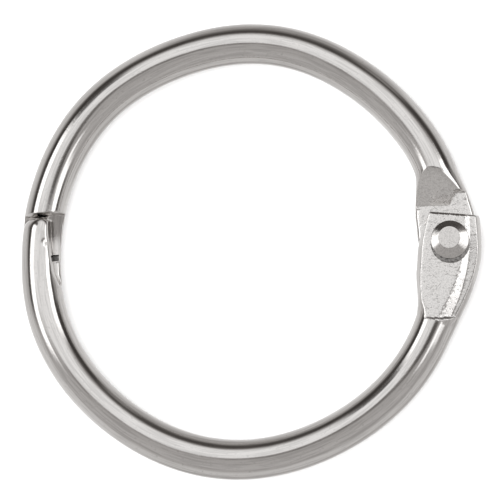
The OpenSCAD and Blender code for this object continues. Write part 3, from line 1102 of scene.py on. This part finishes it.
FRONT_LEFT = [
    (42, 0.5), (75, 0.5), (84, 0.64), (92, 0.74), (105, 0.75), (115, 0.74), (128, 0.87), (150, 0.94),
]  # fmt: skip

# azimuths between which each wall takes over from the one before it
FRONT_LEFT_FADE = (-120, -160)
WALLS = [
    ((-28, -8), SIDE),
    ((8, 26), BACK_RIGHT),
    ((45, 72), BACK),
    ((102, 126), BACK_LEFT),
]
LEFT_SIDE = (-4, 12)  # counted from straight left
LEFT_SIDE_SOFT = 8
OVERHEAD_FADE = (-0.05, 0.08)  # by the direction's y
WALL_FADE = (34, 42)  # degrees from straight up between which the walls begin

# Dark spots overhead: place and half size in the direction's x and y, and brightness. These and the
# cards and soft boxes below follow the same reading of the photograph.
SPOTS = [
    (0.22, -0.055, 0.34, 0.15, 0.12),
    (-0.04, -0.07, 0.24, 0.12, 0.24),
    (-0.3, -0.06, 0.22, 0.1, 0.36),
]
SPOT_EDGE = (1.0, 0.35)  # each darkens between these shares of its half size
SPOT_FADE = (0.0, 0.2)  # and fades out towards the horizon

# cards and soft boxes: edges by azimuth and by degrees from straight up, and softness of each
DARK_CARD = ((126, 142), (38, 66), 4, 4)
GREY_CARD = ((55, 66), (73, 88), 4, 4)
RIGHT_STRIP = ((-24, -10), (37, 60), 6, 4)
RIGHT_SLIT = ((-33, -12), (34, 43), 4, 3)
LEFT_BOX = ((-12, 36), (38, 59), 5, 3)  # its azimuths are counted from straight left
RIGHT_BOX = ((-20, 36), (42, 63), 6, 3)
DARK_CARD_LEVEL = 0.06
DARK_CARD_SHARE = 0.9
GREY_CARD_LEVEL = 0.26
STRIP_LEVEL = 1.1
SLIT_LEVEL = 1.5
BOX_LEVEL = 1.9
WARMTH = (1.0, 1.035, 1.06)  # powers of red, green and blue, which warm the darker parts a little


def make_studio():
    """The soft boxes, cards and dark gaps that the metal mirrors, by direction."""
    world = bpy.data.worlds.new("studio")
    bpy.context.scene.world = world
    world.use_nodes = True
    nodes = Nodes(world.node_tree)
    background = world.node_tree.nodes["Background"]
    way = nodes.add("ShaderNodeSeparateXYZ")
    nodes.link(nodes.add("ShaderNodeTexCoord").outputs["Generated"], way.inputs[0])
    x, y, z = way.outputs
    zenith = nodes.math("DEGREES", nodes.math("ARCCOSINE", z))
    azimuth = nodes.math("DEGREES", nodes.math("ARCTAN2", y, x))
    from_left = nodes.math("DEGREES", nodes.math("ARCTAN2", y, nodes.times(x, -1.0)))

    def band(value, edges, soft):
        rise = nodes.step(value, edges[0] - soft, edges[0] + soft)
        fall = nodes.step(value, edges[1] + soft, edges[1] - soft)
        return nodes.times(rise, fall)

    def panel(across, edges, heights, soft_across, soft_up):
        return nodes.times(band(across, edges, soft_across), band(zenith, heights, soft_up))

    def warm(level):
        return (*(level**power for power in WARMTH), 1)

    def white(level):
        return (level, level, level, 1)

    def ramp(stops):
        node = nodes.add("ShaderNodeValToRGB")
        nodes.link(nodes.math("DIVIDE", zenith, 180.0), node.inputs[0])
        marks = node.color_ramp.elements
        while len(marks) < len(stops):
            marks.new(0.5)
        for mark, (degrees, level) in zip(marks, stops):
            mark.position = degrees / 180
            mark.color = warm(level)
        return node.outputs[0]

    def spot(x0, y0, wide, high):
        dx = nodes.math("DIVIDE", nodes.math("SUBTRACT", x, x0), wide)
        dy = nodes.math("DIVIDE", nodes.math("SUBTRACT", y, y0), high)
        d2 = nodes.math("ADD", nodes.math("POWER", dx, 2.0), nodes.math("POWER", dy, 2.0))
        near = nodes.step(nodes.math("SQRT", d2), *SPOT_EDGE)
        return nodes.times(near, nodes.step(z, *SPOT_FADE))

    low = nodes.mix(nodes.step(azimuth, *FRONT_LEFT_FADE), ramp(FRONT_WALL), ramp(FRONT_LEFT))
    for fade, stops in WALLS:
        low = nodes.mix(nodes.step(azimuth, *fade), low, ramp(stops))
    low = nodes.mix(band(from_left, LEFT_SIDE, LEFT_SIDE_SOFT), low, ramp(SIDE))
    high = nodes.mix(nodes.step(y, *OVERHEAD_FADE), ramp(FRONT_WALL), ramp(OVERHEAD))
    level = nodes.mix(nodes.step(zenith, *WALL_FADE), high, low)
    for *place, darkness in SPOTS:
        level = nodes.mix(spot(*place), level, warm(darkness))
    dark = nodes.times(panel(azimuth, *DARK_CARD), DARK_CARD_SHARE)
    level = nodes.mix(dark, level, warm(DARK_CARD_LEVEL))
    level = nodes.mix(panel(azimuth, *GREY_CARD), level, warm(GREY_CARD_LEVEL))
    level = nodes.mix(panel(azimuth, *RIGHT_STRIP), level, white(STRIP_LEVEL))
    level = nodes.mix(panel(azimuth, *RIGHT_SLIT), level, white(SLIT_LEVEL))
    boxes = nodes.math("MAXIMUM", panel(from_left, *LEFT_BOX), panel(azimuth, *RIGHT_BOX))
    level = nodes.mix(boxes, level, white(BOX_LEVEL))
    seen = nodes.add("ShaderNodeLightPath").outputs["Is Camera Ray"]
    nodes.link(nodes.mix(seen, level, white(1)), background.inputs["Color"])


# ---------------------------------------------------------------- the camera
PIXELS_PER_MM = 14.859  # the photograph's scale, in its 500 by 500 frame
FRAME_PX = 500
ORIGIN_PX = (243.2, 251.4)  # where the ring's middle lies in that frame
CAMERA_RIGHT = Vector((0.9883, -0.0164, -0.1518))
CAMERA_UP = Vector((0.0358, 0.9913, 0.1265))
CAMERA_AWAY = 0.8  # in metres
SENSOR = 36


def make_camera():
    """A long lens at the photograph's angle, 11 degrees off the ring's own axis."""
    right = CAMERA_RIGHT.normalized()
    back = right.cross(CAMERA_UP).normalized()
    up = back.cross(right)
    shift_x = (FRAME_PX / 2 - ORIGIN_PX[0]) / PIXELS_PER_MM * MM
    shift_y = (ORIGIN_PX[1] - FRAME_PX / 2) / PIXELS_PER_MM * MM
    data = bpy.data.cameras.new("camera")
    data.sensor_width = SENSOR
    data.lens = SENSOR * CAMERA_AWAY / (FRAME_PX / PIXELS_PER_MM * MM)
    data.clip_start = 0.01
    data.clip_end = 20
    camera = new_object("camera", data)
    turn = Matrix((right, up, back)).transposed().to_4x4()
    place = right * shift_x + up * shift_y + back * CAMERA_AWAY
    camera.matrix_world = Matrix.Translation(place) @ turn
    bpy.context.scene.camera = camera


wire_metal = metal("nickel_wire", NICKEL, PRESSED_NICKEL_LIT, True)
rivet_metal = metal("nickel_rivet", RIVET_NICKEL, RIVET_NICKEL, False)
make_half(FRONT, wire_metal)
make_half(REAR, wire_metal)
make_rivet(rivet_metal)
make_floor()
make_lamp()
make_studio()
make_camera()
bpy.context.scene.view_settings.view_transform = "Standard"
